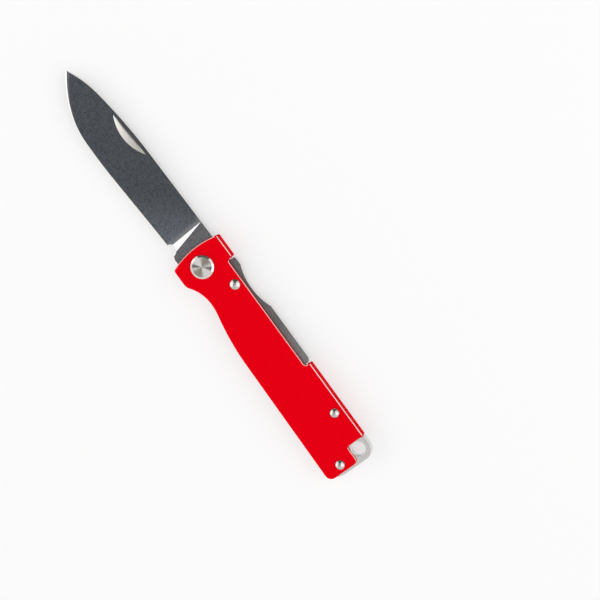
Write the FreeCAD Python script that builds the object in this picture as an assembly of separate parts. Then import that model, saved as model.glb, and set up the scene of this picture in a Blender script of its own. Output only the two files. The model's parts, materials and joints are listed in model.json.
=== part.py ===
import FreeCAD, Part
import math
import os

# A slim folding knife with a front lever lock, open, lying on its rear side. Lengths in millimetres.
# The pieces are drawn about the blade pivot: X to the tail, Y to the spine, Z out of the front side.

# Thickness of the stack between the two sides of the folded sheet
sheet = 1.0
blade_thickness = 2.6
washer_thickness = 0.2
washer_play = 0.01
bar_side_play = 0.12
loop_side_play = 0.02
bend_radius = 0.6
overrun = 1.0

# Fits
running_clearance = 0.05
seat_clearance = 0.02

# Blade: distances from the pivot axis, and shares of its reach and height for the curves
blade_reach = 75.0
blade_back = 8.2
tip_height = 1.2
belly_drop = 7.5
heel_drop = 5.7
back_straight_share = (0.507, 0.913)
back_curve_share = (0.84, 0.644)
edge_straight_share = (0.533, 0.96)
edge_belly_share = (0.707, 0.984)
edge_rise_share = (0.813, 0.827)
edge_angle = 28.0
heel_half_thickness = 0.35
tip_taper = 0.19
plunge_top = 11.7
plunge_foot = 11.0
plunge_shoulder = 8.4

# Nail nick
nick_place = 46.8
nick_below_back = 1.25
nick_width = 16.1
nick_sag = 2.4
nick_depth = 1.1
nick_tilt = 2.4

# Tang
tang_radius = 6.2
pivot_radius = 2.45
hook_front = 0.8
hook_rear = 1.6
hook_play = 0.15
shoulder_play = 0.4
notch_play = 0.6
kick_play = 0.4
ricasso_drop = 6.1
ricasso_front = 7.9
ricasso_low = 6.8
ricasso_rear = 3.6
fold_angle = 176.0

# Pivot hardware
pivot_head_radius = 3.8
pivot_face_radius = 3.15
pivot_rim = 0.4
head_height = 0.9
screw_head_radius = 3.2
screw_radius = 1.3
screw_length = 3.2
barrel_inset = 0.1
drive_radius = 0.85
drive_lobe_radius = 0.3
drive_depth = 0.6
drive_lobes = 6
washer_radius = 5.0

# Handle sheet
roof_gap = 0.45
front_top = 5.3
front_reach = 6.3
front_reach_height = 2.2
front_low = 4.6
lobe_drop = 8.2
lobe_corner = 0.8
lobe_end = 1.0
lobe_share = 0.21
groove_place = 11.0
groove_drop = 4.8
groove_share = 0.19
belly_place = 34.0
handle_belly = 7.3
tail_drop = 7.8
tip_room = 2.9
tail_corner = 2.2
tab_corner = 1.5
cut_corner = 0.8

# Window in the spine, and the bar in it
window_front = 2.75
window_rear = 44.0
window_depth = 1.9
window_corner = 1.2
window_play = 0.5
bar_proud = 0.45
bar_front_corner = 0.9
bar_rear_corner = 1.4
nose_gap = 0.35
arm_gap = 0.55
bar_under = 5.55
scoop_front = 6.3
scoop_rear = 22.5
scoop_depth = 1.6
hook_gap = 0.12
lock_angle = 3.5
seam_radius = 13.6
seam_gap = 0.15

# Rivets: shank and domed head, and their places
shank_radius = 0.9
pin_head_radius = 1.7
rivet_head_radius = 1.55
eye_wall = 0.7
choil_play = 0.45
pin_place = 10.4
pin_height = 5.05
spring_rivet_back = 16.7
spring_rivet_drop = 2.15
spring_end_wall = 0.9
tail_rivet_back = 2.5
tail_rivet_drop = 1.85

# Tail loop
eye_radius = 2.25
eye_back = 3.3
eye_top_wall = 1.6
eye_side_margin = 0.25
eye_low_margin = 0.15
loop_proud = 0.9
loop_corner = 3.5
loop_grip = 6.0
loop_plate_wall = 1.9
limb_inset = 0.9
limb_end = 0.7
limb_lift = 1.0

# Levels and places that follow from the sizes above
slot = blade_thickness + 2 * (washer_thickness + 2 * washer_play)
half_blade = blade_thickness / 2
half_slot = slot / 2
half_width = half_slot + sheet
roof_under = blade_back + roof_gap
spine_top = roof_under + sheet
bar_top = spine_top + bar_proud
eye_height = spine_top - eye_top_wall - eye_radius
handle_rear = blade_reach + tip_room
eye_place = handle_rear - eye_back
cut_place = eye_place - eye_radius - eye_side_margin
tab_top = eye_height - eye_radius - eye_low_margin
loop_rear = handle_rear + loop_proud
pin = FreeCAD.Vector(pin_place, pin_height, 0)
spring_rivet = FreeCAD.Vector(handle_rear - spring_rivet_back, roof_under - spring_rivet_drop, 0)
tail_rivet = FreeCAD.Vector(handle_rear - tail_rivet_back, -tail_rivet_drop, 0)
pin_eye_radius = shank_radius + eye_wall
half_bar = half_slot - bar_side_play
hook_radius = tang_radius + hook_gap
hook_set = hook_radius - pin_place * math.sin(math.radians(lock_angle))
bar_front = window_front + window_play
bar_rear = window_rear - window_play
up = FreeCAD.Vector(0, 0, 1)
origin = FreeCAD.Vector(0, 0, 0)


class Pen:
    """Draws an outline in the XY plane, edge by edge."""

    def __init__(self, x, y):
        self.here = FreeCAD.Vector(x, y, 0)
        self.heading = None
        self.edges = []

    def add(self, edge, end):
        self.edges.append(edge)
        self.heading = edge.tangentAt(edge.LastParameter)
        self.here = end

    def line(self, x, y):
        end = FreeCAD.Vector(x, y, 0)
        self.add(Part.LineSegment(self.here, end).toShape(), end)

    def arc(self, middle, x, y):
        end = FreeCAD.Vector(x, y, 0)
        self.add(Part.Arc(self.here, middle, end).toShape(), end)

    def about(self, centre, x, y):
        """The shorter arc about a centre."""
        spoke = self.here - centre
        middle = (self.here + FreeCAD.Vector(x, y, 0)) * 0.5 - centre
        self.arc(centre + middle.normalize() * spoke.Length, x, y)

    def bend(self, x, y):
        """An arc that leaves along the present heading."""
        end = FreeCAD.Vector(x, y, 0)
        chord = end - self.here
        side = up.cross(self.heading)
        radius = chord.dot(chord) / (2 * chord.dot(side))
        self.about(self.here + side * radius, x, y)

    def bend_level(self, y):
        """An arc that leaves along the present heading and ends level, at height y."""
        half_turn = math.atan2(self.heading.y, self.heading.x) / 2
        self.bend(self.here.x + (y - self.here.y) / math.tan(half_turn), y)

    def corner(self, x, y, next_x, next_y, radius):
        """A straight to a rounded corner, which turns towards the next point."""
        point = FreeCAD.Vector(x, y, 0)
        before = (self.here - point).normalize()
        after = (FreeCAD.Vector(next_x, next_y, 0) - point).normalize()
        run = radius / math.tan(before.getAngle(after) / 2)
        start = point + before * run
        end = point + after * run
        self.line(start.x, start.y)
        self.bend(end.x, end.y)

    def face(self):
        first = self.edges[0].valueAt(self.edges[0].FirstParameter)
        if not self.here.isEqual(first, 1e-7):
            self.line(first.x, first.y)
        return Part.Face(Part.Wire(self.edges))


def prism(face, low, high):
    return face.translated(up * low).extrude(up * (high - low))


def turned(face):
    """Turns a face about Z, drawn with its radius along X and its height along Y."""
    upright = face.rotated(origin, FreeCAD.Vector(1, 0, 0), 90)
    return upright.revolve(origin, up, 360)


def disc(centre, radius, low, high):
    return Part.makeCylinder(radius, high - low, centre + up * low)


def drill(shape, centre, radius):
    return shape.cut(disc(centre, radius, -half_width - overrun, half_width + overrun))


def share_point(share, reach, height):
    return FreeCAD.Vector(-share[0] * reach, share[1] * height, 0)


def handle_outline():
    pen = Pen(-front_top, spine_top)
    pen.arc(FreeCAD.Vector(-front_reach, front_reach_height, 0), -front_low, lobe_corner - lobe_drop)
    pen.bend_level(-lobe_drop)
    pen.line(lobe_end, -lobe_drop)
    for x, y, share in ((groove_place, -groove_drop, lobe_share), (belly_place, -handle_belly, groove_share)):
        start = pen.here
        turn = start + (FreeCAD.Vector(x, y, 0) - start) * share
        pen.bend(turn.x, turn.y)
        pen.bend(x, y)
    pen.corner(handle_rear, -tail_drop, handle_rear, tab_top, tail_corner)
    pen.corner(handle_rear, tab_top, cut_place, tab_top, tab_corner)
    pen.corner(cut_place, tab_top, cut_place, spine_top, cut_corner)
    pen.line(cut_place, spine_top)
    return pen.face()


def folded_sheet():
    """The U of the sheet, longer than the handle at both ends."""
    low = -lobe_drop - tail_drop
    start = FreeCAD.Vector(-front_reach - overrun, low, -half_width)
    length = handle_rear + front_reach + 2 * overrun
    block = Part.makeBox(length, spine_top - low, 2 * half_width, start)
    folds = [e for e in block.Edges if e.BoundBox.YMin > 0 and e.BoundBox.XLength > sheet]
    block = block.makeFillet(bend_radius, folds)
    inside = start + FreeCAD.Vector(-overrun, -overrun, sheet)
    return block.cut(Part.makeBox(length + 2 * overrun, roof_under - low + overrun, slot, inside))


def spine_window():
    sill = spine_top - window_depth
    above = bar_top + overrun
    pen = Pen(window_front, above)
    pen.corner(window_front, sill, window_rear, sill, window_corner)
    pen.corner(window_rear, sill, window_rear, above, window_corner)
    pen.line(window_rear, above)
    return prism(pen.face(), -half_width - overrun, half_width + overrun)


def handle_shell():
    shell = prism(handle_outline(), -half_width, half_width).common(folded_sheet())
    shell = shell.cut(spine_window())
    shell = drill(shell, origin, pivot_radius + running_clearance)
    for place in (pin, spring_rivet, tail_rivet):
        shell = drill(shell, place, shank_radius + seat_clearance)
    return shell


def closed_place(point):
    """The place on the open blade that lies at a point of the handle when the blade is shut."""
    return FreeCAD.Rotation(up, -fold_angle).multVec(point)


def edge_run():
    pen = Pen(-ricasso_front, -heel_drop)
    points = [share_point(s, blade_reach, -belly_drop)
              for s in (edge_straight_share, edge_belly_share, edge_rise_share)]
    pen.line(points[0].x, points[0].y)
    for point in points[1:]:
        pen.bend(point.x, point.y)
    pen.bend(-blade_reach, tip_height)
    return pen


def blade_face():
    shoulder = -hook_front - shoulder_play
    lug = hook_rear + hook_play
    floor = hook_set - notch_play
    kick = hook_set - kick_play
    kick_end = math.sqrt(tang_radius ** 2 - kick ** 2)
    back = Pen(shoulder, blade_back)
    straight = share_point(back_straight_share, blade_reach, blade_back)
    back.line(straight.x, straight.y)
    curve = share_point(back_curve_share, blade_reach, blade_back)
    back.bend(curve.x, curve.y)
    back.bend(-blade_reach, tip_height)
    tang = Pen(shoulder, blade_back)
    tang.line(shoulder, floor)
    tang.line(lug, floor)
    tang.line(lug, math.sqrt(tang_radius ** 2 - lug ** 2))
    tang.arc(FreeCAD.Vector(tang_radius, 0, 0), kick_end, -kick)
    tang.line(-kick_end, -kick)
    tang.line(-ricasso_rear, -ricasso_drop)
    tang.line(-ricasso_low, -ricasso_drop)
    tang.line(-ricasso_front, -heel_drop)
    edges = Part.sortEdges(back.edges + tang.edges + edge_run().edges)[0]
    return Part.Face(Part.Wire(edges))


def half_space(a, b, c):
    """A large block on the side of the plane through three points that their turn points to."""
    normal = (b - a).cross(c - a).normalize()
    size = 4 * blade_reach
    block = Part.makeBox(size, size, size, FreeCAD.Vector(-size / 2, -size / 2, 0))
    return block.transformed(FreeCAD.Placement(a, FreeCAD.Rotation(up, normal)).toMatrix())


def grind_points():
    """Three points of the front ground face: on the back at the plunge and at the tip, and at the heel."""
    back = share_point(back_straight_share, blade_reach, blade_back)
    shoulder = FreeCAD.Vector(-hook_front - shoulder_play, blade_back, 0)
    run = (back - shoulder) * (1 / (back.x - shoulder.x))
    top = shoulder + run * (-plunge_top - shoulder.x) + up * half_blade
    tip = shoulder + run * (-blade_reach - shoulder.x) + up * (half_blade - tip_taper)
    heel = FreeCAD.Vector(-plunge_foot, -heel_drop, heel_half_thickness)
    return top, tip, heel


def grind_cut():
    """What the grinding takes off the front face, up to the sloped plunge."""
    top, tip, heel = grind_points()
    shoulder = FreeCAD.Vector(-plunge_shoulder, -heel_drop, half_blade)
    return half_space(top, tip, heel).common(half_space(top, heel, shoulder))


def edge_cut():
    """What the sharpening takes off: all below a roof of two slopes that meet in the edge."""
    rise = half_blade + overrun
    run = rise / math.tan(math.radians(edge_angle))
    far = blade_back + belly_drop + run
    sections = []
    for level, inset in ((0, 0), (rise, run)):
        pen = edge_run()
        start = pen.edges[0].tangentAt(pen.edges[0].FirstParameter)
        edges = [edge_offset(e, inset) for e in pen.edges]
        first = edges[0].valueAt(edges[0].FirstParameter)
        last = edges[-1].valueAt(edges[-1].LastParameter)
        heel = first - start * far
        tip = last + pen.heading * far
        corners = (last, tip, FreeCAD.Vector(heel.x, tip.y + far, 0), heel, first)
        edges += [Part.LineSegment(a, b).toShape() for a, b in zip(corners, corners[1:])]
        sections.append(Part.Wire(edges).translated(up * level))
    roof = Part.makeLoft(sections, True, True)
    roof = roof.fuse(roof.mirror(origin, up))
    low = FreeCAD.Vector(-blade_reach - overrun, -belly_drop - overrun, -half_blade)
    heel = closed_place(pin)
    block = Part.makeBox(heel.x - low.x, blade_back + belly_drop + 2 * overrun, blade_thickness, low)
    return block.cut(roof)


def edge_offset(edge, inset):
    """The same edge moved towards the back of the blade: a straight shifted, an arc about its own centre."""
    a, middle, b = [edge.valueAt(edge.FirstParameter + s * (edge.LastParameter - edge.FirstParameter))
                    for s in (0, 0.5, 1)]
    ends = [edge.tangentAt(p) for p in (edge.FirstParameter, edge.LastParameter)]
    half = edge.tangentAt((edge.FirstParameter + edge.LastParameter) / 2)
    moved = [p - up.cross(t) * inset for p, t in ((a, ends[0]), (middle, half), (b, ends[1]))]
    if ends[0].isEqual(ends[1], 1e-9):
        return Part.LineSegment(moved[0], moved[2]).toShape()
    return Part.Arc(*moved).toShape()


def nail_nick():
    """A crescent with a straight wall towards the back and a floor that slopes up to its round side."""
    half = nick_width / 2
    radius = (half ** 2 + nick_sag ** 2) / (2 * nick_sag)
    slope = nick_sag / nick_depth
    cone = Part.makeCone(radius - nick_sag, radius + slope * overrun, nick_depth + overrun,
                         FreeCAD.Vector(0, radius - nick_sag, -nick_depth))
    below = Part.makeBox(2 * nick_width, 2 * nick_sag, nick_depth + 2 * overrun,
                         FreeCAD.Vector(-nick_width, -2 * nick_sag, -nick_depth - overrun))
    nick = cone.common(below)
    nick.rotate(origin, up, nick_tilt)
    top, tip, heel = grind_points()
    along = (top - tip).normalize()
    normal = (tip - top).cross(heel - top).normalize()
    frame = FreeCAD.Rotation(along, normal.cross(along), normal, "ZXY")
    spot = top + along * (plunge_top - nick_place)
    drop = (heel - top).dot(normal.cross(along))
    level = nick_below_back + nick_back_fall()
    spot = spot + normal.cross(along) * (math.copysign(level, drop))
    return nick.transformed(FreeCAD.Placement(spot, frame).toMatrix())


def nick_back_fall():
    """How far the back has curved below its straight run at the nick."""
    past = max(nick_place - back_straight_share[0] * blade_reach, 0)
    run = (back_curve_share[0] - back_straight_share[0]) * blade_reach
    fall = (back_straight_share[1] - back_curve_share[1]) * blade_back
    return fall * (past / run) ** 2


def blade():
    body = prism(blade_face(), -half_blade, half_blade)
    ground = grind_cut()
    body = body.cut([ground, ground.mirror(origin, up), edge_cut(), nail_nick()])
    body = drill(body, closed_place(pin), pin_eye_radius + choil_play)
    return drill(body, origin, pivot_radius + running_clearance)


def lock_lever():
    """The rocking front of the bar, from its hook to the seam with the spring."""
    nose = roof_under - nose_gap
    arm = hook_radius + arm_gap
    pen = Pen(-hook_front, nose)
    pen.line(-hook_front, math.sqrt(hook_radius ** 2 - hook_front ** 2))
    pen.about(origin, hook_rear, math.sqrt(hook_radius ** 2 - hook_rear ** 2))
    pen.line(hook_rear, arm)
    pen.line(pin.x - pin_eye_radius, arm)
    pen.line(pin.x - pin_eye_radius, pin.y)
    pen.line(pin.x, pin.y)
    pen.line(pin.x + pin_eye_radius, bar_under)
    pen.line(*seam_point(seam_radius, bar_under))
    pen.about(pin, *seam_point(seam_radius, bar_top))
    pen.line(scoop_rear, bar_top)
    bottom = FreeCAD.Vector((scoop_front + scoop_rear) / 2, bar_top - scoop_depth, 0)
    pen.arc(bottom, scoop_front, bar_top)
    pen.corner(bar_front, bar_top, bar_front, nose, bar_front_corner)
    pen.line(bar_front, nose)
    lever = prism(pen.face(), -half_bar, half_bar)
    lever = lever.fuse(disc(pin, pin_eye_radius, -half_bar, half_bar)).removeSplitter()
    return drill(lever, pin, shank_radius + running_clearance)


def seam_point(radius, height):
    return pin.x + math.sqrt(radius ** 2 - (height - pin.y) ** 2), height


def back_spring():
    """The rear of the bar, which runs under the spine to its rivet."""
    end_radius = shank_radius + spring_end_wall
    radius = seam_radius + seam_gap
    under_roof = roof_under - nose_gap
    pen = Pen(*seam_point(radius, bar_top))
    pen.corner(bar_rear, bar_top, bar_rear, under_roof, bar_rear_corner)
    pen.line(bar_rear, under_roof)
    pen.line(spring_rivet.x, spring_rivet.y + end_radius)
    pen.line(spring_rivet.x, spring_rivet.y - end_radius)
    pen.line(*seam_point(radius, bar_under))
    pen.about(pin, *seam_point(radius, bar_top))
    spring = prism(pen.face(), -half_bar, half_bar)
    spring = spring.fuse(disc(spring_rivet, end_radius, -half_bar, half_bar)).removeSplitter()
    return drill(spring, spring_rivet, shank_radius + seat_clearance)


def tail_loop():
    roof = roof_under - running_clearance
    front = cut_place + running_clearance
    plate_low = tail_rivet.y - loop_plate_wall
    limb = tail_rivet.x + limb_inset
    foot = limb_lift - tail_drop
    pen = Pen(front, spine_top)
    pen.corner(loop_rear, spine_top, loop_rear, tail_rivet.y, loop_corner)
    pen.line(loop_rear, tail_rivet.y)
    pen.bend(handle_rear - limb_end, foot)
    pen.line(limb, foot)
    pen.line(limb, plate_low)
    pen.line(tail_rivet.x - loop_plate_wall, plate_low)
    pen.line(cut_place - loop_grip, roof)
    pen.line(front, roof)
    half = half_slot - loop_side_play
    loop = prism(pen.face(), -half, half)
    loop = drill(loop, FreeCAD.Vector(eye_place, eye_height, 0), eye_radius)
    return drill(loop, tail_rivet, shank_radius + seat_clearance)


def domed_rivet(place, head_radius):
    dome = Pen(0, head_height)
    dome.heading = FreeCAD.Vector(1, 0, 0)
    dome.bend(head_radius, 0)
    dome.line(0, 0)
    head = turned(dome.face()).translated(up * half_width)
    rivet = disc(origin, shank_radius, -half_width, half_width).fuse([head, head.mirror(origin, up)])
    return rivet.removeSplitter().translated(place)


def pivot_barrel():
    rear = barrel_inset - half_width
    bore = screw_radius + running_clearance
    bore_end = screw_length - half_width + barrel_inset
    top = half_width + head_height
    pen = Pen(bore, rear)
    for r, z in ((pivot_radius, rear), (pivot_radius, half_width), (pivot_head_radius, half_width),
                 (pivot_head_radius, half_width + pivot_rim), (pivot_face_radius, top), (0, top),
                 (0, bore_end), (bore, bore_end)):
        pen.line(r, z)
    return turned(pen.face())


def pivot_screw():
    outer = -half_width - head_height
    edge = head_height / 3
    pen = Pen(0, outer)
    for r, z in ((screw_head_radius - edge, outer), (screw_head_radius, outer + edge),
                 (screw_head_radius, -half_width), (screw_radius, -half_width),
                 (screw_radius, screw_length - half_width), (0, screw_length - half_width)):
        pen.line(r, z)
    screw = turned(pen.face())
    screw = screw.cut(disc(origin, drive_radius, outer - overrun, outer + drive_depth))
    for i in range(drive_lobes):
        angle = 2 * math.pi * i / drive_lobes
        lobe = FreeCAD.Vector(math.cos(angle), math.sin(angle), 0) * drive_radius
        screw = screw.cut(disc(lobe, drive_lobe_radius, outer - overrun, outer + drive_depth))
    return screw


def pivot_washer(low):
    ring = disc(origin, washer_radius, low, low + washer_thickness)
    return drill(ring, origin, pivot_radius + running_clearance)


washer_low = half_blade + washer_play
pieces = {
    "handle_shell": handle_shell(),
    "blade": blade(),
    "pivot_barrel": pivot_barrel(),
    "pivot_screw": pivot_screw(),
    "pivot_washer_front": pivot_washer(washer_low),
    "pivot_washer_rear": pivot_washer(-washer_low - washer_thickness),
    "lock_lever": lock_lever(),
    "back_spring": back_spring(),
    "lock_pin": domed_rivet(pin, pin_head_radius),
    "spring_rivet": domed_rivet(spring_rivet, rivet_head_radius),
    "tail_rivet": domed_rivet(tail_rivet, rivet_head_radius),
    "tail_loop": tail_loop(),
}

# The origin goes to the middle of the knife's box, on the surface that it lies on
box = Part.makeCompound(list(pieces.values())).optimalBoundingBox(False, False)
shift = FreeCAD.Vector(-box.Center.x, -box.Center.y, -box.ZMin)
os.makedirs("parts", exist_ok=True)
for name, shape in pieces.items():
    shape.translated(shift).exportStep(f"parts/{name}.step")
for name, place in (("pivot", origin), ("lock pin", pin),
                    ("lanyard eye", FreeCAD.Vector(eye_place, eye_height, 0))):
    print(name, [round(v, 4) for v in place + shift])
print("box", round(box.XLength, 3), round(box.YLength, 3), round(box.ZLength, 3))
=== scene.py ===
"""A slim folding knife with a red sheet handle, open, on a pale floor: its fine shapes and finishes."""

import json
import math

import bmesh
import bpy
from mathutils import Matrix, Vector


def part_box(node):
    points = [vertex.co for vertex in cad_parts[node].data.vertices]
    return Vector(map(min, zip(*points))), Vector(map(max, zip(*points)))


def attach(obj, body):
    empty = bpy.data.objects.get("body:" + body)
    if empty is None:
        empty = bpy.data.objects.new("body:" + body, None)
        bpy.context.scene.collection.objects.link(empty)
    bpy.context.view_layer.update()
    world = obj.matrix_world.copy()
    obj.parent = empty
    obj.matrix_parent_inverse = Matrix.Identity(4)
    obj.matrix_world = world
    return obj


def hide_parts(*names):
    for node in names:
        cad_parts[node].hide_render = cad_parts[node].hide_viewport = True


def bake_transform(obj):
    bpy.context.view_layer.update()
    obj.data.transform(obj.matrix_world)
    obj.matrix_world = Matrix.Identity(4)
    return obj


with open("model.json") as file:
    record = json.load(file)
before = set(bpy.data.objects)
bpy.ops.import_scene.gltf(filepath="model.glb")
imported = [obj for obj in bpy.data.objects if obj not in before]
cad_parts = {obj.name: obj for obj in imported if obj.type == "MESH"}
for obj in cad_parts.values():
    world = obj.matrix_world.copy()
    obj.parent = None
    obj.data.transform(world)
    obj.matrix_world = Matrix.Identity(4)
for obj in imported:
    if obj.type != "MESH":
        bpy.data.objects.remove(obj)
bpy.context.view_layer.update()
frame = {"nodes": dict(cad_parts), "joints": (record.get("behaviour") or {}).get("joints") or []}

# Places from the frame and the folded sheet, in metres, and the way up
joints = {joint["name"]: joint for joint in frame["joints"]}
PIVOT = Vector(joints["blade_fold"]["pos_m"])
LOCK_PIN = Vector(joints["lock_release"]["pos_m"])
SIDE_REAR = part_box("handle_shell")[0].z
SIDE_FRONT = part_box("handle_shell")[1].z
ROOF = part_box("handle_shell")[1].y
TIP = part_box("blade")[0].x
SHEET = 0.001
BEND = 0.0008
BEND_PLAY = 0.0001
UPWARDS = (0.0, 0.0, 1.0)
IN_PLANE = (1.0, 1.0, 0.0)

# The blade's flats: the plunge with a painted highlight beside it, a lightening before it, and the tang
# behind it painted lighter as a painted reflection
PLUNGE = PIVOT.x - 0.0113
PLUNGE_LEAN = 0.05
PLUNGE_FADE = 0.0022
PLUNGE_HIGHLIGHT_SHARE = 0.42
LIGHTER_BEFORE_PLUNGE = (PLUNGE - 0.0185, PLUNGE + 0.0065)
LIGHTER_LEAN = -0.8
LIGHTER_GAIN = (1.80, 1.80, 1.82)
TANG_PAINTED_LIGHT_GAIN = (2.0, 1.8, 1.7)

# The nail nick, and the painted shade in the corner along its wall
NICK = (PIVOT.x - 0.0555, PIVOT.x - 0.038)
NICK_RISE = 0.96
NICK_LEAN = 0.5
NICK_TILT = 0.06
NICK_WALL = PIVOT.y - NICK_TILT * PIVOT.x + 0.00865
NICK_CORNER = (NICK_WALL - 0.0009, NICK_WALL - 0.0002)
NICK_DEPTH = (PIVOT.z + 0.0002, PIVOT.z + 0.0009)
NICK_SHADE_SHARE = 0.85

# The honed line along the edge, and the part of the lock bar painted lighter towards its rear as a painted
# reflection
HONED_RISE = 0.00007
HONED_RISE_TIP = 0.00026
HONED_RISE_HEEL = 0.00022
HONED_TIP = (TIP + 0.0009, TIP + 0.0169)
HONED_HEEL = (PIVOT.x - 0.0431, PIVOT.x - 0.0121)
HONED_FADE = (0.92, 1.08)
BAR_PAINTED_LIGHT_SPAN = (PIVOT.x + 0.022, PIVOT.x + 0.043)
BAR_PAINTED_LIGHT_SHARE = 0.3

# How faces and edges are told apart
WELD = 1e-7
FLAT_ANGLE = math.radians(0.4)
SHARP_ANGLE = math.radians(30)
GRIND_ANGLE = math.radians(6)
FLAT_NORMAL = 0.99
BACK_NORMAL = 0.5
EDGE_RISE = (0.8, 0.95)
MIDDLE_PLAY = 0.00002
FLAT_WEIGHT = 100
WASHED_FACE, GROUND_FACE, EDGE_FACE, NICK_FACE = range(4)

# Rounding of edges, in metres
EDGE_SEGMENTS = 3
SHEET_EDGE_ROUND = 0.0003
BAR_EDGE_ROUND = 0.00012
LOOP_EDGE_ROUND = 0.00018
SCREW_EDGE_ROUND = 0.00008
WASHER_EDGE_ROUND = 0.00003
BACK_EDGE_ROUND = 0.0001

# Turned pieces, and the lock bar's seam and bends
TURN_STEPS = 96
DOME_RINGS = 14
DOME_RIM = 0.00012
SHANK_SHARE = 0.5
SOCKET_REACH = 0.0015
HEAD_FACE_SHARE = 0.83
HEAD_SLOPE_SHARE = 0.45
BARREL_SHARE = 0.64
GROOVE_PITCH = 0.00013
GROOVE_STEPS = 4
GROOVE_SLOPE = math.radians(9.5)
SEAM_PLAY_SHARE = 0.1
BAR_CUTS = 16

# Marks of tumbling: coarseness beside the grain, detail and roughness of each noise, shares of the shade
CLOUD_COARSENESS = 0.23
PIT_COARSENESS = 0.8
GRAIN_NOISE = (3.0, 0.7)
CLOUD_NOISE = (2.0, 0.5)
PIT_NOISE = (4.0, 0.6)
GRAIN_SHARE = 0.65
CLOUD_SHARE = 0.15
SCAR_SHARE = 0.2
SCAR_SPAN = (0.3, 0.45)
MARK_SPAN = (0.40, 0.70)

# Lines, smears and rings: detail and roughness of each noise, the span that shows, shares of the roughness
LINE_NOISE = (2.0, 0.6)
LINE_SPAN = (0.32, 0.68)
LINE_SHARE = 0.6
SMEAR_NOISE = (3.0, 0.6)
SMEAR_SPAN = (0.35, 0.65)
SMEAR_SHARE = 0.4
RING_NOISE = (2.0, 0.5)
RING_SPAN = (0.35, 0.65)
RING_FINENESS = 9000.0

# Painted highlights on the coat, at the bend and on the lips: the way that they face, and the spans in
# which they show
BEND_FACING = (0.0, 0.68, 0.73)
BEND_HIGHLIGHT_SPAN = (0.95, 0.985)
LIP_FACING = (-0.71, 0.71, 0.0)
LIP_TOWARDS = (0.06, 0.22)
LIP_OFF_WALL = (0.3, 0.55)
LIP_OFF_FLAT = (0.96, 0.995)

# Sizes and depths of marks, in metres, and fine lines to the metre along each axis
PEEL_SIZE = 0.00035
PEEL_DEPTH = 0.000006
COAT_SMEAR = 0.011
STEEL_SMEAR = 0.006
RING_SMEAR = 0.003
BLADE_MARK = 0.00024
BLADE_MARK_DEPTH = 0.000002
BAR_MARK = 0.0003
BAR_MARK_DEPTH = 0.000004
BRONZE_MARK = 0.0003
BRONZE_MARK_DEPTH = 0.000002
GROUND_LINES = (300, 7000, 7000)
GROUND_DEPTH = 0.0000006
POLISH_LINES = (900, 900, 900)
POLISH_DEPTH = 0.0000004
SATIN_LINES = (250, 6000, 6000)
SATIN_DEPTH = 0.000002
RING_DEPTH = 0.000002

# Gloss: roughness from the smooth places to the rough ones, and the coat's specular level
COAT_ROUGHNESS = (0.5, 0.58)
COAT_SPECULAR = 0.004
BEND_HIGHLIGHT_ROUGHNESS = 0.25
BLADE_ROUGHNESS = (0.36, 0.46)
HONED_ROUGHNESS = 0.25
BAR_ROUGHNESS = (0.34, 0.5)
BRONZE_ROUGHNESS = (0.3, 0.42)
GROUND_ROUGHNESS = (0.28, 0.36)
NICK_ROUGHNESS = (0.42, 0.52)
POLISH_ROUGHNESS = (0.06, 0.12)
SATIN_ROUGHNESS = (0.24, 0.34)
TURNED_ROUGHNESS = (0.1, 0.16)
FLOOR_ROUGHNESS = 0.9

# Colours, linear
RED = (0.835, 0.0, 0.0075)
RED_DEEP = (0.71, 0.0, 0.0055)
# painted highlights: bare metal on the bend, and pale pink on the lips
PAINTED_BEND_HIGHLIGHT = (0.95, 0.91, 0.90)
LIP_HIGHLIGHT = (0.97, 0.66, 0.63)
LIP_HIGHLIGHT_DARK = (0.93, 0.52, 0.49)
WASHED_DARK = (0.0235, 0.0262, 0.031)
WASHED_LIGHT = (0.1135, 0.127, 0.1435)
BAR_DARK = (0.07, 0.07, 0.072)
BAR_LIGHT = (0.23, 0.226, 0.222)
# painted light on steel: a painted highlight beside the plunge, and a painted reflection towards the lock
# bar's rear
PAINTED_LIGHT_STEEL = (0.42, 0.415, 0.43)
GROUND = (0.86, 0.85, 0.835)
GROUND_DARK = (0.78, 0.77, 0.755)
NICK_LIGHT = (0.86, 0.84, 0.805)
NICK_DARK = (0.79, 0.765, 0.73)
# painted shade in the nick's corner
NICK_PAINTED_SHADE = (0.34, 0.30, 0.26)
HONED = (0.70, 0.66, 0.60)
TURNED = (0.73, 0.717, 0.697)
TURNED_DARK = (0.63, 0.617, 0.597)
RIM = (0.76, 0.72, 0.68)
RIM_DULL = (0.68, 0.64, 0.60)
POLISHED = (0.60, 0.58, 0.565)
POLISHED_DULL = (0.52, 0.50, 0.485)
SATIN = (0.76, 0.76, 0.75)
SATIN_DARK = (0.68, 0.68, 0.67)
BRONZE = (0.60, 0.38, 0.18)
BRONZE_DARK = (0.42, 0.25, 0.11)
FLOOR = (0.94, 0.94, 0.94)
WHITE = (1.0, 1.0, 1.0)
WARM_SHADE = (0.37, 0.32, 0.275)

# The floor and the soft boxes, with lengths in metres
FLOOR_SIZE = 2.0
FLOOR_GAP = 0.00002
FLOOR_GLOW_SHARE = 0.58
BOX_DISTANCE = 0.8
BOX_WIDTH = 1.4
BOX_RADIANCE = 0.97
EDGE_BOX_AZIMUTH = math.radians(-138)
EDGE_BOX_HEIGHT = math.radians(28)
EDGE_BOX_TALL = 0.8
SPINE_BOX_AZIMUTH = math.radians(62)
SPINE_BOX_HEIGHT = math.radians(40)
SPINE_BOX_TALL = 0.86

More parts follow.
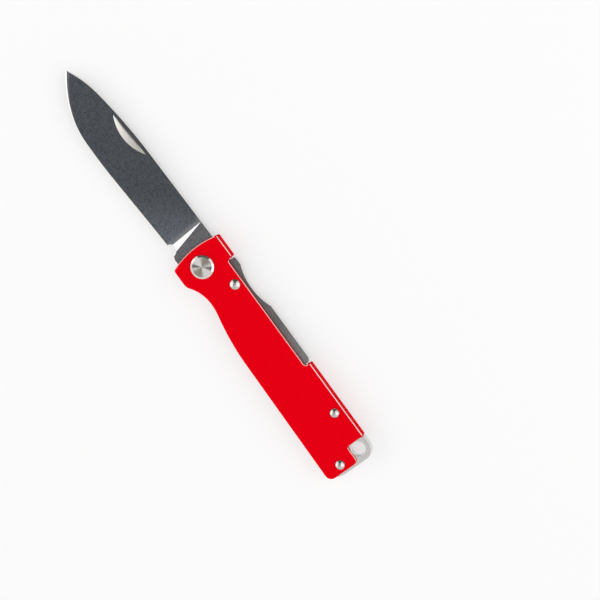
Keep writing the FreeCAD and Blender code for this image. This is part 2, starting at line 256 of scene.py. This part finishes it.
# The room as the knife mirrors it: directions, and how bright each part is
MIRROR = (-0.021, -0.226, 0.974)
PANEL_SIDE = (-0.719, 0.695, 0.0)
PANEL_START = (-0.217, -0.067)
PANEL_END = (0.30, 0.48)
PANEL_LIGHT = 0.72
SWEEP_LIGHT = 0.92
ROOM_DARK = 0.12
WEDGE_REACH = (0.88, 0.945)
WEDGE_GAIN = 1.16
SEAM_EDGE = (0.11, 0.30)
SEAM_SHADE = 0.2
WARM_SIDE = (0.917, 0.399, 0.0)
WARM_EDGE = (0.36, 0.80)

# The view of the knife: turns about its own axes, and the camera's place after them
VIEW_YAW = math.radians(0.971)
VIEW_PITCH = math.radians(11.533)
VIEW_ROLL = math.radians(-54.082)
VIEW_PLACE = (0.02771, -0.0101, 0.70833)
VIEW_LENS = 135
VIEW_SENSOR = 36


# Shapes

def joined_copy(*nodes):
    """A bmesh of one or more frame pieces with their triangles joined."""
    bm = bmesh.new()
    for node in nodes:
        bm.from_mesh(frame["nodes"][node].data)
    bmesh.ops.remove_doubles(bm, verts=bm.verts, dist=WELD)
    return bm


def flatten(bm):
    """Makes each flat one face."""
    bmesh.ops.dissolve_limit(bm, angle_limit=FLAT_ANGLE, verts=bm.verts, edges=bm.edges)


def sharp_edges(bm):
    return [e for e in bm.edges if len(e.link_faces) == 2 and e.calc_face_angle() > SHARP_ANGLE]


def round_edges(bm, edges, width, held=True):
    """Rounds edges, with the width held back where short edges leave no room for it."""
    bmesh.ops.bevel(bm, geom=edges, offset=width, offset_type="OFFSET", segments=EDGE_SEGMENTS,
                    profile=0.5, affect="EDGES", clamp_overlap=held, material=-1)


def piece_from(bm, name, body, nodes):
    """Makes the finished object, which rides on a body and stands for its frame pieces."""
    mesh = bpy.data.meshes.new(name)
    for face in bm.faces:
        face.smooth = True
    bm.to_mesh(mesh)
    bm.free()
    piece = bpy.data.objects.new(name, mesh)
    bpy.context.scene.collection.objects.link(piece)
    if body:
        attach(piece, body)
    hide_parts(*nodes)
    return piece


def even_shading(piece):
    """Keeps the flats flat next to rounded edges."""
    weighted = piece.modifiers.new("even_shading", "WEIGHTED_NORMAL")
    weighted.mode = "FACE_AREA"
    weighted.weight = FLAT_WEIGHT
    weighted.keep_sharp = True


def rounded_piece(node, name, body, width):
    bm = joined_copy(node)
    flatten(bm)
    round_edges(bm, sharp_edges(bm), width)
    piece = piece_from(bm, name, body, [node])
    even_shading(piece)
    return piece


def is_under_roof(edge):
    """True on the inner edges of the window in the spine, which the sheet hides."""
    inner = ROOF - SHEET
    half_slot = PIVOT.z - SIDE_REAR - SHEET
    return all(abs(v.co.y - inner) < BEND / 2 and abs(v.co.z - PIVOT.z) < half_slot + MIDDLE_PLAY
               for v in edge.verts)


def folded_handle():
    bm = joined_copy("handle_shell")
    flatten(bm)
    open_edges = [e for e in sharp_edges(bm) if not is_under_roof(e)]
    round_edges(bm, open_edges, SHEET_EDGE_ROUND, held=False)
    piece = piece_from(bm, "red_handle", "handle", ["handle_shell"])
    even_shading(piece)
    return piece


def turned(profile, centre):
    """A bmesh turned about an upright axis from (radius, height) pairs."""
    bm = bmesh.new()
    verts = [bm.verts.new((centre.x + r, centre.y, z)) for r, z in profile]
    edges = [bm.edges.new(pair) for pair in zip(verts, verts[1:])]
    bmesh.ops.spin(bm, geom=verts + edges, cent=centre, axis=UPWARDS, angle=2 * math.pi,
                   steps=TURN_STEPS, use_merge=True)
    bmesh.ops.remove_doubles(bm, verts=bm.verts, dist=WELD)
    bmesh.ops.recalc_face_normals(bm, faces=bm.faces)
    return bm


def dome(radius, base, top):
    """Profile of a domed head from its middle out to its rim."""
    rise = top - base - DOME_RIM
    ball = (radius ** 2 + rise ** 2) / (2 * rise)
    reach = math.asin(radius / ball)
    steps = [reach * i / DOME_RINGS for i in range(DOME_RINGS + 1)]
    return [(ball * math.sin(a), top - ball * (1 - math.cos(a))) for a in steps] + [(radius, base)]


def domed_rivet(node):
    """A rivet with a dome on each side, and its shank between the two."""
    low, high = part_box(node)
    centre = (low + high) / 2
    radius = (high.x - low.x) / 2
    shank = radius * SHANK_SHARE
    front = dome(radius, SIDE_FRONT, high.z)
    rear = [(r, low.z + high.z - z) for r, z in front]
    profile = front + [(shank, SIDE_FRONT), (shank, SIDE_REAR)] + rear[::-1]
    bm = turned(profile, centre)
    piece = piece_from(bm, node + "_domes", "handle", [node])
    piece.data.set_sharp_from_angle(angle=SHARP_ANGLE)
    return piece


def from_pivot(place):
    return (place - PIVOT).to_2d().length


def grooves(face, top):
    """Profile of fine turned rings across a face, with straight slopes up and down."""
    step = GROOVE_PITCH / GROOVE_STEPS
    fall = step * math.tan(GROOVE_SLOPE)
    half = GROOVE_STEPS / 2
    return [(i * step, top - fall * (half - abs(half - i % GROOVE_STEPS)))
            for i in range(int(face / step))]


def pivot_head():
    """The plain front head, turned in crisp rings, with a polished slope round it, and its barrel."""
    low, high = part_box("pivot_barrel")
    rim = (high.x - low.x) / 2
    face = rim * HEAD_FACE_SHARE
    barrel = rim * BARREL_SHARE
    slope_end = SIDE_FRONT + (high.z - SIDE_FRONT) * HEAD_SLOPE_SHARE
    slope = [(face, high.z), (rim - DOME_RIM / 2, slope_end), (rim, slope_end - DOME_RIM)]
    shank = [(rim, SIDE_FRONT), (barrel, SIDE_FRONT), (barrel, low.z), (0, low.z)]
    bm = turned(grooves(face, high.z) + slope + shank, PIVOT)
    for bm_face in bm.faces:
        bm_face.material_index = int(from_pivot(bm_face.calc_center_median()) > face)
    piece = piece_from(bm, "pivot_head", "handle", ["pivot_barrel"])
    piece.data.set_sharp_from_angle(angle=GROOVE_SLOPE)
    return piece


def rear_screw():
    """The screw that closes the barrel, with the socket for its driver given the dark bar steel as painted
    shade in the recess.
    """
    piece = rounded_piece("pivot_screw", "rear_screw", "handle", SCREW_EDGE_ROUND)
    for face in piece.data.polygons:
        # painted shade: the socket's deep faces get the dark second finish
        deep = SCREW_EDGE_ROUND < face.center.z < SIDE_REAR
        face.material_index = int(deep and from_pivot(face.center) < SOCKET_REACH)
    return piece


def is_flat(face):
    return abs(face.normal.z) > FLAT_NORMAL


def is_edge(face):
    """True on the faces that meet at the cutting edge."""
    sloped = EDGE_RISE[0] < abs(face.normal.z) < EDGE_RISE[1]
    return sloped and min(abs(v.co.z - PIVOT.z) for v in face.verts) < MIDDLE_PLAY and face.normal.y < 0


def is_back(face):
    return face.normal.y > BACK_NORMAL and face.calc_center_median().y > PIVOT.y


def is_nick(face):
    place = face.calc_center_median()
    within = NICK[0] < place.x < NICK[1] and place.y > PIVOT.y
    return within and face.normal.y < NICK_LEAN and abs(face.normal.z) < NICK_RISE


def blade_finish(face):
    """Which of the blade's finishes a face has: washed, ground, edge or nick."""
    if is_edge(face):
        return EDGE_FACE
    if is_nick(face):
        return NICK_FACE
    return WASHED_FACE if is_flat(face) else GROUND_FACE


def blade_piece():
    """The blade with dark flats, and with its back, plunge, nick and a line at its edge ground bright."""
    bm = joined_copy("blade")
    flatten(bm)
    back = [e for e in sharp_edges(bm) if any(is_back(f) for f in e.link_faces)
            and any(is_flat(f) for f in e.link_faces)]
    round_edges(bm, back, BACK_EDGE_ROUND)
    for face in bm.faces:
        face.material_index = blade_finish(face)
    for edge in bm.edges:
        if len(edge.link_faces) == 2:
            angle = edge.calc_face_angle()
            ground = any(is_flat(f) for f in edge.link_faces) and angle > GRIND_ANGLE
            edge.smooth = not (ground or angle > SHARP_ANGLE)
    return piece_from(bm, "blade_ground", "blade", ["blade"])


def pin_distance(vert):
    return (vert.co - LOCK_PIN).to_2d().length


def pin_distances(node):
    """How far the corners of a frame piece lie from the lock pin."""
    bm = joined_copy(node)
    found = [pin_distance(v) for v in bm.verts]
    bm.free()
    return found


def lock_bar():
    """The lock bar as the one springy piece that it is, joined from its lever and its spring, with cross
    cuts from its pin to the end of its spring.
    """
    near = max(pin_distances("lock_lever"))
    far = min(pin_distances("back_spring"))
    gap = far - near
    play = gap * SEAM_PLAY_SHARE
    bm = joined_copy("lock_lever", "back_spring")
    seam = [v for v in bm.verts if near - play < pin_distance(v) < far + play]
    on_seam = set(seam)
    seam_faces = [f for f in bm.faces if all(v in on_seam for v in f.verts)]
    bmesh.ops.delete(bm, geom=seam_faces, context="FACES")
    for v in seam:
        v.co.x = LOCK_PIN.x + math.sqrt((near + gap / 2) ** 2 - (v.co.y - LOCK_PIN.y) ** 2)
    bmesh.ops.remove_doubles(bm, verts=seam, dist=gap / 2)
    flatten(bm)
    round_edges(bm, sharp_edges(bm), BAR_EDGE_ROUND)
    start = LOCK_PIN.x
    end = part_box("back_spring")[1].x
    for i in range(1, BAR_CUTS):
        place = start + (end - start) * i / BAR_CUTS
        bmesh.ops.bisect_plane(bm, geom=bm.verts[:] + bm.edges[:] + bm.faces[:], plane_co=(place, 0, 0),
                               plane_no=(1, 0, 0))
    for face in bm.faces:
        face.material_index = int(abs(face.normal.z) < FLAT_NORMAL)
    piece = piece_from(bm, "lock_bar", None, ["lock_lever", "back_spring"])
    even_shading(piece)
    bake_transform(piece)
    return piece


# Node helpers

def put(tree, value, socket):
    """Feeds a socket from another one, or sets it to a plain value, with a colour made opaque."""
    if isinstance(value, bpy.types.NodeSocket):
        tree.links.new(value, socket)
    elif hasattr(value, "__len__") and len(value) < len(socket.default_value):
        socket.default_value = (*value, 1.0)
    else:
        socket.default_value = value


def maths(tree, operation, a, b=0.0):
    node = tree.nodes.new("ShaderNodeMath")
    node.operation = operation
    put(tree, a, node.inputs[0])
    put(tree, b, node.inputs[1])
    return node.outputs[0]


def vector_maths(tree, operation, a, b=(0.0, 0.0, 0.0), output="Vector"):
    node = tree.nodes.new("ShaderNodeVectorMath")
    node.operation = operation
    put(tree, a, node.inputs[0])
    put(tree, b, node.inputs[1])
    return node.outputs[output]


def dot(tree, a, b):
    return vector_maths(tree, "DOT_PRODUCT", a, b, "Value")


def span(tree, value, low, high, to_low, to_high):
    """Moves a value from one range to another, held at its ends."""
    node = tree.nodes.new("ShaderNodeMapRange")
    node.interpolation_type = "SMOOTHSTEP"
    for socket, given in zip(node.inputs, (value, low, high, to_low, to_high)):
        put(tree, given, socket)
    return node.outputs["Result"]


def blend_colours(tree, share, a, b):
    node = tree.nodes.new("ShaderNodeMix")
    node.data_type = "RGBA"
    put(tree, share, node.inputs["Factor"])
    put(tree, a, node.inputs[6])
    put(tree, b, node.inputs[7])
    return node.outputs[2]


def noise(tree, place, scale, detail, roughness):
    node = tree.nodes.new("ShaderNodeTexNoise")
    put(tree, place, node.inputs["Vector"])
    put(tree, scale, node.inputs["Scale"])
    put(tree, detail, node.inputs["Detail"])
    put(tree, roughness, node.inputs["Roughness"])
    return node.outputs["Fac"]


def here(tree):
    return tree.nodes.new("ShaderNodeTexCoord").outputs["Object"]


def facing(tree):
    return tree.nodes.new("ShaderNodeTexCoord").outputs["Normal"]


def coordinates(tree):
    node = tree.nodes.new("ShaderNodeSeparateXYZ")
    put(tree, here(tree), node.inputs[0])
    return node.outputs


def new_group(name, inputs, outputs):
    """An empty node group with named inputs, given as (name, kind, value), and named value outputs."""
    group = bpy.data.node_groups.new(name, "ShaderNodeTree")
    for label, kind, value in inputs:
        group.interface.new_socket(label, in_out="INPUT", socket_type=kind).default_value = value
    for label in outputs:
        group.interface.new_socket(label, in_out="OUTPUT", socket_type="NodeSocketFloat")
    return group, group.nodes.new("NodeGroupInput").outputs, group.nodes.new("NodeGroupOutput").inputs


def placed(tree, group, **values):
    """Puts a node group into a material with its own values, and gives its outputs."""
    node = tree.nodes.new("ShaderNodeGroup")
    node.node_tree = group
    for label, value in values.items():
        put(tree, value, node.inputs[label.capitalize()])
    return node.outputs


# Effects that several finishes share

def make_tumble_marks():
    """Fine mottling and small dents of steel that was tumbled with stones, at a given size."""
    inputs = [("Size", "NodeSocketFloat", BAR_MARK)]
    group, given, out = new_group("tumble_marks", inputs, ["Shade", "Height"])
    fine = maths(group, "DIVIDE", 1.0, given["Size"])
    coarse = maths(group, "MULTIPLY", fine, CLOUD_COARSENESS)
    grain = noise(group, here(group), fine, *GRAIN_NOISE)
    cloud = noise(group, here(group), coarse, *CLOUD_NOISE)
    pits = noise(group, here(group), maths(group, "MULTIPLY", fine, PIT_COARSENESS), *PIT_NOISE)
    scar = span(group, pits, *SCAR_SPAN, 0.0, 1.0)
    shade = maths(group, "MULTIPLY", grain, GRAIN_SHARE)
    for layer, share in ((cloud, CLOUD_SHARE), (scar, SCAR_SHARE)):
        shade = maths(group, "ADD", shade, maths(group, "MULTIPLY", layer, share))
    put(group, span(group, shade, *MARK_SPAN, 0.0, 1.0), out["Shade"])
    put(group, maths(group, "ADD", grain, scar), out["Height"])
    return group


def make_fine_lines():
    """Fine lines left by grinding or brushing: a large fineness on an axis packs the lines along it."""
    inputs = [("Fineness", "NodeSocketVector", GROUND_LINES)]
    group, given, out = new_group("fine_lines", inputs, ["Shade", "Height"])
    stretched = vector_maths(group, "MULTIPLY", here(group), given["Fineness"])
    lines = noise(group, stretched, 1.0, *LINE_NOISE)
    put(group, span(group, lines, *LINE_SPAN, 0.0, 1.0), out["Shade"])
    put(group, lines, out["Height"])
    return group


def make_bend_highlight_mask():
    """A mask of rounded edges that face near one way, for a painted highlight."""
    inputs = [("Facing", "NodeSocketVector", BEND_FACING),
              ("Start", "NodeSocketFloat", BEND_HIGHLIGHT_SPAN[0]),
              ("Full", "NodeSocketFloat", BEND_HIGHLIGHT_SPAN[1])]
    group, given, out = new_group("bend_highlight_mask", inputs, ["Mask"])
    towards = dot(group, facing(group), given["Facing"])
    put(group, span(group, towards, given["Start"], given["Full"], 0.0, 1.0), out["Mask"])
    return group


def make_lip_highlight_mask():
    """A mask of a sheet's rounded lips, between its flats and its walls, on the sides that face one way,
    for a painted highlight.
    """
    inputs = [("Facing", "NodeSocketVector", LIP_FACING)]
    group, given, out = new_group("lip_highlight_mask", inputs, ["Mask"])
    normal = facing(group)
    rise = maths(group, "ABSOLUTE", dot(group, normal, UPWARDS))
    off_wall = span(group, rise, *LIP_OFF_WALL, 0.0, 1.0)
    off_flat = span(group, rise, *LIP_OFF_FLAT, 1.0, 0.0)
    towards = span(group, dot(group, normal, given["Facing"]), *LIP_TOWARDS, 0.0, 1.0)
    lip = maths(group, "MULTIPLY", off_wall, off_flat)
    put(group, maths(group, "MULTIPLY", towards, lip), out["Mask"])
    return group


def make_handling():
    """Broad faint smears left by use."""
    inputs = [("Size", "NodeSocketFloat", STEEL_SMEAR)]
    group, given, out = new_group("handling", inputs, ["Shade"])
    scale = maths(group, "DIVIDE", 1.0, given["Size"])
    smears = noise(group, here(group), scale, *SMEAR_NOISE)
    put(group, span(group, smears, *SMEAR_SPAN, 0.0, 1.0), out["Shade"])
    return group


tumble_marks = make_tumble_marks()
fine_lines = make_fine_lines()
bend_highlight_mask = make_bend_highlight_mask()
lip_highlight_mask = make_lip_highlight_mask()
handling = make_handling()


# Finishes

def new_finish(name):
    """A new material, with its node tree and the sockets of its shader."""
    made = bpy.data.materials.new(name)
    made.use_nodes = True
    return made, made.node_tree, made.node_tree.nodes["Principled BSDF"].inputs


def reopened(made):
    """The node tree of a finish that is to be varied, the sockets of its shader, and what colours it."""
    tree = made.node_tree
    shader = tree.nodes["Principled BSDF"].inputs
    return tree, shader, shader["Base Color"].links[0].from_socket


def bump(tree, height, depth, socket):
    node = tree.nodes.new("ShaderNodeBump")
    node.inputs["Distance"].default_value = depth
    put(tree, height, node.inputs["Height"])
    put(tree, node.outputs["Normal"], socket)


def make_red_coat():
    """A satin red coat, with a painted highlight of bright bare metal along the side of the spine's bend
    that faces one way, and a painted pinkish highlight on the lips that face one way.
    """
    made, tree, shader = new_finish("red_coat")
    peel = placed(tree, tumble_marks, size=PEEL_SIZE)
    smear = placed(tree, handling, size=COAT_SMEAR)["Shade"]
    bend = span(tree, coordinates(tree)["Y"], ROOF - BEND - BEND_PLAY, ROOF - BEND, 0.0, 1.0)
    # painted highlight: bright bare metal on the side of the bend that faces one way
    bend_highlight = maths(tree, "MULTIPLY", placed(tree, bend_highlight_mask)["Mask"], bend)
    # painted highlight: pale pinkish lips on the sides that face one way
    lip = maths(tree, "MULTIPLY", placed(tree, lip_highlight_mask)["Mask"], maths(tree, "SUBTRACT", 1.0, bend))
    lip_highlight_colour = blend_colours(tree, peel["Shade"], LIP_HIGHLIGHT_DARK, LIP_HIGHLIGHT)
    coat = blend_colours(tree, lip, blend_colours(tree, peel["Shade"], RED_DEEP, RED), lip_highlight_colour)
    put(tree, blend_colours(tree, bend_highlight, coat, PAINTED_BEND_HIGHLIGHT), shader["Base Color"])
    put(tree, bend_highlight, shader["Metallic"])
    satin = span(tree, smear, 0.0, 1.0, *COAT_ROUGHNESS)
    put(tree, span(tree, bend_highlight, 0.0, 1.0, satin, BEND_HIGHLIGHT_ROUGHNESS), shader["Roughness"])
    shader["Specular IOR Level"].default_value = COAT_SPECULAR
    bump(tree, peel["Height"], PEEL_DEPTH, shader["Normal"])
    return made


def make_washed(name, size, dark, light, roughness, depth):
    """Metal with tumble marks, for the blade, the sides of the lock bar and the washers."""
    made, tree, shader = new_finish(name)
    marks = placed(tree, tumble_marks, size=size)
    put(tree, blend_colours(tree, marks["Shade"], dark, light), shader["Base Color"])
    shader["Metallic"].default_value = 1.0
    put(tree, span(tree, marks["Shade"], 0.0, 1.0, *roughness), shader["Roughness"])
    bump(tree, marks["Height"], depth, shader["Normal"])
    return made


def make_blade_steel(name):
    return make_washed(name, BLADE_MARK, WASHED_DARK, WASHED_LIGHT, BLADE_ROUGHNESS, BLADE_MARK_DEPTH)


def make_blade_flat():
    """Tumbled dark steel, lighter towards the plunge, with a painted highlight beside the plunge in place
    of a rounded transition, and painted lighter on the tang as a painted reflection.
    """
    made = make_blade_steel("stonewashed_steel")
    tree, shader, washed = reopened(made)
    place = coordinates(tree)
    # painted highlight beside the plunge, in place of the light that a rounded transition there would catch
    ahead = maths(tree, "ADD", place["X"], maths(tree, "MULTIPLY", place["Y"], PLUNGE_LEAN))
    near = span(tree, ahead, PLUNGE - PLUNGE_FADE, PLUNGE, 0.0, PLUNGE_HIGHLIGHT_SHARE)
    before = maths(tree, "LESS_THAN", ahead, PLUNGE)
    slanted = maths(tree, "ADD", place["X"], maths(tree, "MULTIPLY", place["Y"], LIGHTER_LEAN))
    lighter_share = maths(tree, "MULTIPLY", span(tree, slanted, *LIGHTER_BEFORE_PLUNGE, 0.0, 1.0), before)
    lightened = blend_colours(tree, lighter_share, washed, vector_maths(tree, "MULTIPLY", washed, LIGHTER_GAIN))
    ground = blend_colours(tree, maths(tree, "MULTIPLY", near, before), lightened, PAINTED_LIGHT_STEEL)
    # painted reflection: the tang painted lighter than the flats
    tang = vector_maths(tree, "MULTIPLY", washed, TANG_PAINTED_LIGHT_GAIN)
    put(tree, blend_colours(tree, before, tang, ground), shader["Base Color"])
    return made


def make_edge():
    """The slopes of the edge: honed bright in a line along it, which widens to the tip and to the heel."""
    made = make_blade_steel("edge_steel")
    tree, shader, washed = reopened(made)
    place = coordinates(tree)
    height = maths(tree, "ABSOLUTE", maths(tree, "SUBTRACT", place["Z"], PIVOT.z))
    to_tip = span(tree, place["X"], *HONED_TIP, HONED_RISE_TIP, HONED_RISE)
    to_heel = span(tree, place["X"], *HONED_HEEL, 0.0, HONED_RISE_HEEL - HONED_RISE)
    part = maths(tree, "DIVIDE", height, maths(tree, "ADD", to_tip, to_heel))
    bright = span(tree, part, *HONED_FADE, 1.0, 0.0)
    put(tree, blend_colours(tree, bright, washed, HONED), shader["Base Color"])
    tumbled = shader["Roughness"].links[0].from_socket
    put(tree, span(tree, bright, 0.0, 1.0, tumbled, HONED_ROUGHNESS), shader["Roughness"])
    return made


def make_bar_side():
    """Tumbled dark steel, painted lighter towards the rear of the lock bar as a painted reflection."""
    made = make_washed("bar_side", BAR_MARK, BAR_DARK, BAR_LIGHT, BAR_ROUGHNESS, BAR_MARK_DEPTH)
    tree, shader, washed = reopened(made)
    # painted reflection: lighter towards the lock bar's rear
    share = span(tree, coordinates(tree)["X"], *BAR_PAINTED_LIGHT_SPAN, 0.0, BAR_PAINTED_LIGHT_SHARE)
    put(tree, blend_colours(tree, share, washed, PAINTED_LIGHT_STEEL), shader["Base Color"])
    return made


def make_lined(name, fineness, dark, light, roughness, depth):
    """Bright steel with fine lines and faint smears."""
    made, tree, shader = new_finish(name)
    lines = placed(tree, fine_lines, fineness=fineness)
    smear = placed(tree, handling, size=STEEL_SMEAR)["Shade"]
    put(tree, blend_colours(tree, lines["Shade"], dark, light), shader["Base Color"])
    shader["Metallic"].default_value = 1.0
    lined = maths(tree, "MULTIPLY", lines["Shade"], LINE_SHARE)
    mark = maths(tree, "ADD", lined, maths(tree, "MULTIPLY", smear, SMEAR_SHARE))
    put(tree, span(tree, mark, 0.0, 1.0, *roughness), shader["Roughness"])
    bump(tree, lines["Height"], depth, shader["Normal"])
    return made


def make_polish(name, dull, bright):
    return make_lined(name, POLISH_LINES, dull, bright, POLISH_ROUGHNESS, POLISH_DEPTH)


def make_nick():
    """Ground steel of the nail nick, with warm painted shade in the corner along its wall."""
    made = make_lined("nick_steel", GROUND_LINES, NICK_DARK, NICK_LIGHT, NICK_ROUGHNESS, GROUND_DEPTH)
    tree, shader, ground = reopened(made)
    place = coordinates(tree)
    across = maths(tree, "SUBTRACT", place["Y"], maths(tree, "MULTIPLY", place["X"], NICK_TILT))
    # painted shade in the corner along the wall, deepest at the bottom of the nick
    corner = span(tree, across, *NICK_CORNER, 0.0, NICK_SHADE_SHARE)
    deep = maths(tree, "MULTIPLY", corner, span(tree, place["Z"], *NICK_DEPTH, 1.0, 0.0))
    put(tree, blend_colours(tree, deep, ground, NICK_PAINTED_SHADE), shader["Base Color"])
    return made


def make_turned():
    """Steel turned in rings about the pivot."""
    made, tree, shader = new_finish("turned_steel")
    centred = vector_maths(tree, "SUBTRACT", here(tree), tuple(PIVOT))
    flat = vector_maths(tree, "MULTIPLY", centred, IN_PLANE)
    along = tree.nodes.new("ShaderNodeCombineXYZ")
    put(tree, vector_maths(tree, "LENGTH", flat, output="Value"), along.inputs["X"])
    rings = noise(tree, along.outputs["Vector"], RING_FINENESS, *RING_NOISE)
    ring = span(tree, rings, *RING_SPAN, 0.0, 1.0)
    smear = placed(tree, handling, size=RING_SMEAR)["Shade"]
    put(tree, blend_colours(tree, ring, TURNED_DARK, TURNED), shader["Base Color"])
    shader["Metallic"].default_value = 1.0
    put(tree, span(tree, smear, 0.0, 1.0, *TURNED_ROUGHNESS), shader["Roughness"])
    bump(tree, rings, RING_DEPTH, shader["Normal"])
    return made


red_coat = make_red_coat()
stonewashed = make_blade_flat()
edge_steel = make_edge()
bar_side = make_bar_side()
ground_steel = make_lined("ground_steel", GROUND_LINES, GROUND_DARK, GROUND, GROUND_ROUGHNESS, GROUND_DEPTH)
polished = make_polish("polished_steel", POLISHED_DULL, POLISHED)
satin_steel = make_lined("satin_steel", SATIN_LINES, SATIN_DARK, SATIN, SATIN_ROUGHNESS, SATIN_DEPTH)
bronze = make_washed("bronze", BRONZE_MARK, BRONZE_DARK, BRONZE, BRONZE_ROUGHNESS, BRONZE_MARK_DEPTH)
turned_steel = make_turned()
rim_steel = make_polish("rim_steel", RIM_DULL, RIM)
nick_steel = make_nick()


# Every piece in its finishes

def wear(piece, *finishes):
    for made in finishes:
        piece.data.materials.append(made)


wear(folded_handle(), red_coat)
wear(blade_piece(), stonewashed, ground_steel, edge_steel, nick_steel)
wear(lock_bar(), bar_side, ground_steel)
wear(pivot_head(), turned_steel, rim_steel)
wear(rear_screw(), turned_steel, bar_side)
wear(rounded_piece("tail_loop", "lanyard_loop", "handle", LOOP_EDGE_ROUND), satin_steel)
for rivet in ("lock_pin", "spring_rivet", "tail_rivet"):
    wear(domed_rivet(rivet), polished)
for side in ("front", "rear"):
    washer = rounded_piece("pivot_washer_" + side, "washer_" + side, "handle", WASHER_EDGE_ROUND)
    wear(washer, bronze)


# Floor, light and camera

def seen_directly(tree):
    """1 for what the camera, a mirror or glass sees, and 0 for light that falls on things."""
    path = tree.nodes.new("ShaderNodeLightPath").outputs
    mirror = maths(tree, "ADD", path["Is Glossy Ray"], path["Is Transmission Ray"])
    return maths(tree, "MINIMUM", maths(tree, "ADD", path["Is Camera Ray"], mirror), 1.0)


def floor():
    """A pale floor that looks nearly white and keeps a soft shadow."""
    bm = bmesh.new()
    bmesh.ops.create_grid(bm, x_segments=1, y_segments=1, size=FLOOR_SIZE,
                          matrix=Matrix.Translation((0, 0, -FLOOR_GAP)))
    mesh = bpy.data.meshes.new("floor")
    bm.to_mesh(mesh)
    bm.free()
    made = bpy.data.objects.new("floor", mesh)
    bpy.context.scene.collection.objects.link(made)
    pale, tree, shader = new_finish("pale_floor")
    put(tree, FLOOR, shader["Base Color"])
    shader["Roughness"].default_value = FLOOR_ROUGHNESS
    shader["Specular IOR Level"].default_value = 0.0
    glow = tree.nodes.new("ShaderNodeEmission")
    both = tree.nodes.new("ShaderNodeMixShader")
    put(tree, maths(tree, "MULTIPLY", seen_directly(tree), FLOOR_GLOW_SHARE), both.inputs["Fac"])
    put(tree, tree.nodes["Principled BSDF"].outputs["BSDF"], both.inputs[1])
    put(tree, glow.outputs["Emission"], both.inputs[2])
    put(tree, both.outputs["Shader"], tree.nodes["Material Output"].inputs["Surface"])
    mesh.materials.append(pale)


def soft_box(name, azimuth, height, tall):
    """A soft box that faces the knife, from a side and a height that are both angles."""
    lamp = bpy.data.lights.new(name, "AREA")
    lamp.shape = "RECTANGLE"
    lamp.size = BOX_WIDTH
    lamp.size_y = tall
    lamp.energy = BOX_RADIANCE * math.pi * BOX_WIDTH * tall
    made = bpy.data.objects.new(name, lamp)
    bpy.context.scene.collection.objects.link(made)
    turn = Matrix.Rotation(azimuth, 4, "Z") @ Matrix.Rotation(-height, 4, "Y")
    made.location = turn @ Vector((BOX_DISTANCE, 0, 0))
    made.rotation_euler = (-made.location).to_track_quat("-Z", "Y").to_euler()


def wedge(tree, direction, side, edge):
    """1 in two wedges, square to a side, that meet in the direction that the front flats mirror."""
    across = maths(tree, "SUBTRACT", dot(tree, direction, side), Vector(MIRROR).dot(side))
    apart = vector_maths(tree, "DISTANCE", direction, MIRROR, "Value")
    lean = maths(tree, "DIVIDE", maths(tree, "ABSOLUTE", across), apart)
    return span(tree, lean, *edge, 1.0, 0.0)


def studio():
    """A dim room with a pale sweep, soft boxes along both sides of the knife, and a panel overhead.

    A dark seam and a warm shade part the panel where the front flats mirror it.
    """
    world = bpy.data.worlds.new("studio")
    bpy.context.scene.world = world
    world.use_nodes = True
    tree = world.node_tree
    direction = tree.nodes.new("ShaderNodeTexCoord").outputs["Generated"]
    towards = dot(tree, direction, PANEL_SIDE)
    lit = span(tree, towards, *PANEL_START, SWEEP_LIGHT, PANEL_LIGHT)
    open_sky = span(tree, towards, *PANEL_END, lit, ROOM_DARK)
    camera_ray = tree.nodes.new("ShaderNodeLightPath").outputs["Is Camera Ray"]
    not_camera = maths(tree, "SUBTRACT", 1.0, camera_ray)
    near = span(tree, dot(tree, direction, MIRROR), *WEDGE_REACH, 0.0, not_camera)
    seam = span(tree, wedge(tree, direction, PANEL_SIDE, SEAM_EDGE), 0.0, 1.0, WEDGE_GAIN, SEAM_SHADE)
    sky = maths(tree, "MULTIPLY", open_sky, span(tree, near, 0.0, 1.0, 1.0, seam))
    warm = maths(tree, "MULTIPLY", near, wedge(tree, direction, WARM_SIDE, WARM_EDGE))
    background = tree.nodes["Background"].inputs
    put(tree, span(tree, camera_ray, 0.0, 1.0, sky, 1.0), background["Strength"])
    put(tree, blend_colours(tree, warm, WHITE, WARM_SHADE), background["Color"])
    soft_box("edge_side", EDGE_BOX_AZIMUTH, EDGE_BOX_HEIGHT, EDGE_BOX_TALL)
    soft_box("spine_side", SPINE_BOX_AZIMUTH, SPINE_BOX_HEIGHT, SPINE_BOX_TALL)


def camera():
    lens = bpy.data.cameras.new("camera")
    lens.lens = VIEW_LENS
    lens.sensor_width = VIEW_SENSOR
    made = bpy.data.objects.new("camera", lens)
    bpy.context.scene.collection.objects.link(made)
    made.matrix_world = (Matrix.Rotation(-VIEW_YAW, 4, "Y") @ Matrix.Rotation(-VIEW_PITCH, 4, "X")
                         @ Matrix.Rotation(-VIEW_ROLL, 4, "Z") @ Matrix.Translation(VIEW_PLACE))
    bpy.context.scene.camera = made


floor()
studio()
camera()
bpy.context.scene.view_settings.view_transform = "Standard"
